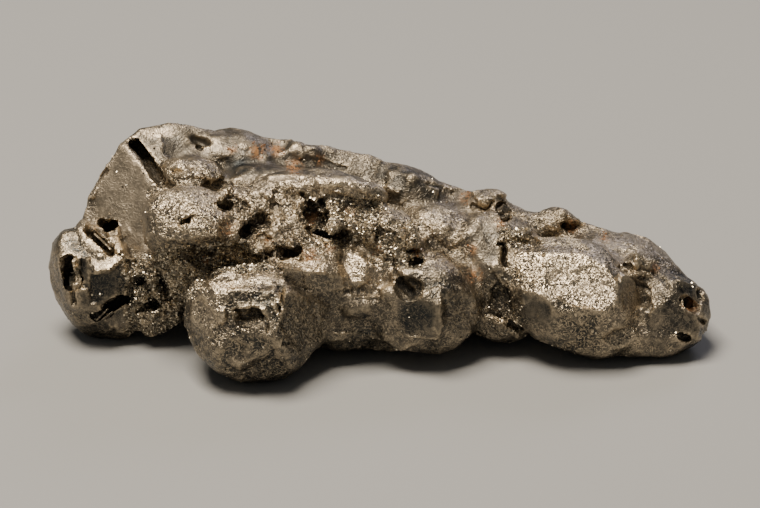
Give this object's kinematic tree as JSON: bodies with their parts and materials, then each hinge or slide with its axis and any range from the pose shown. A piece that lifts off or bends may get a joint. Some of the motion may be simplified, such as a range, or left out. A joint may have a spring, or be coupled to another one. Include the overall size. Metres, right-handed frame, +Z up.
{
  "type": "acanthite specimen",
  "caption": "Loose nugget of dark, tarnished silver sulphide: rounded, facetted lumps grown together along a sloping slab, with slots, pits and a grainy hollow; lies on its worn underside.",
  "frame": {"origin": "middle of the bounding box's underside, on the plane that the nugget lies on", "axes": "+X along the nugget towards its tail, +Y from its front towards the slab behind, +Z up"},
  "size_m": [0.038, 0.0176, 0.011],
  "materials": {
    "tarnished_acanthite": "tarnished, scratched metallic sulphide, dark grey-brown, satin on the facets and rough in the hollows"
  },
  "bodies": {
    "root": {"acanthite_nugget": "tarnished_acanthite"}
  },
  "joints": []
}
